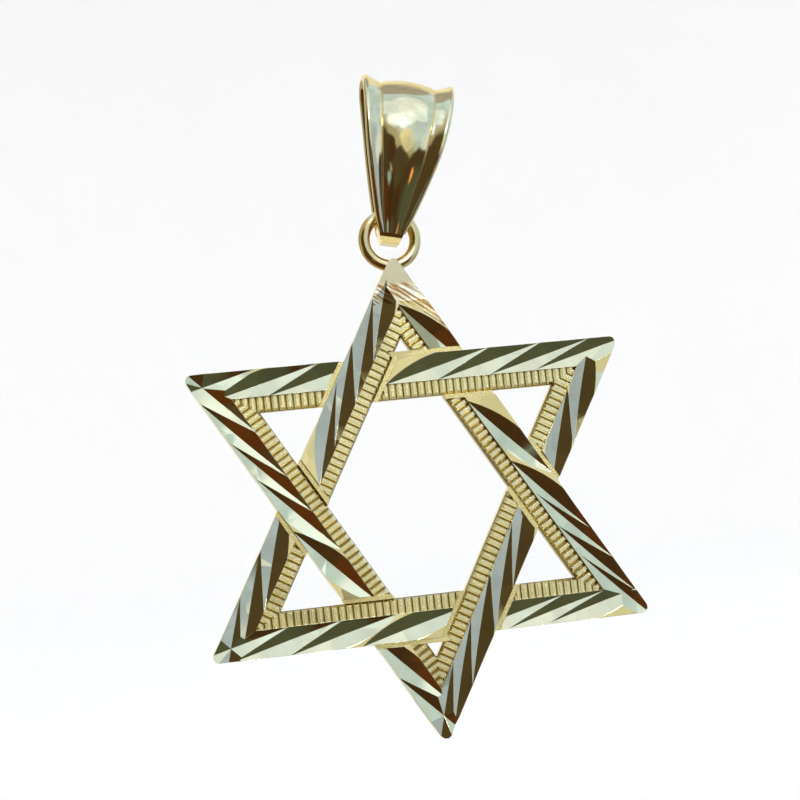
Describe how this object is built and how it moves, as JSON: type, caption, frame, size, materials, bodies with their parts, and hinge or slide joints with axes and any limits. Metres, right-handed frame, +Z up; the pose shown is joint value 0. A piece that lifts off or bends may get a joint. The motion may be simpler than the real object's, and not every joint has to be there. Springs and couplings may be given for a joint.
{
  "type": "star of david pendant",
  "caption": "Openwork interlaced six-pointed star pendant with diamond-cut and ribbed bars, a soldered ring and a tapered chain bail.",
  "frame": {"origin": "inside top of the bail, where the chain bears, in the middle of the bail and in the plane of the ring", "axes": "+Z up along the star's own upright axis, +X to the right as seen from the front, front of the star towards -Y"},
  "size_m": [0.0255, 0.0042, 0.0391],
  "materials": {
    "star_gold": "bright diamond-cut polish on the outer band of each bar, satin ribs on the inner band",
    "bail_gold": "mirror polish"
  },
  "bodies": {
    "bail": {"bail": "bail_gold"},
    "star": {"star": "star_gold"}
  },
  "joints": [
    {"name": "star_swing", "type": "hinge", "parent": "bail", "child": "star", "pos_m": [-0.0016, 0, -0.0073], "axis": [0.9767, 0, -0.2147], "range_deg": [-35, 35]}
  ]
}
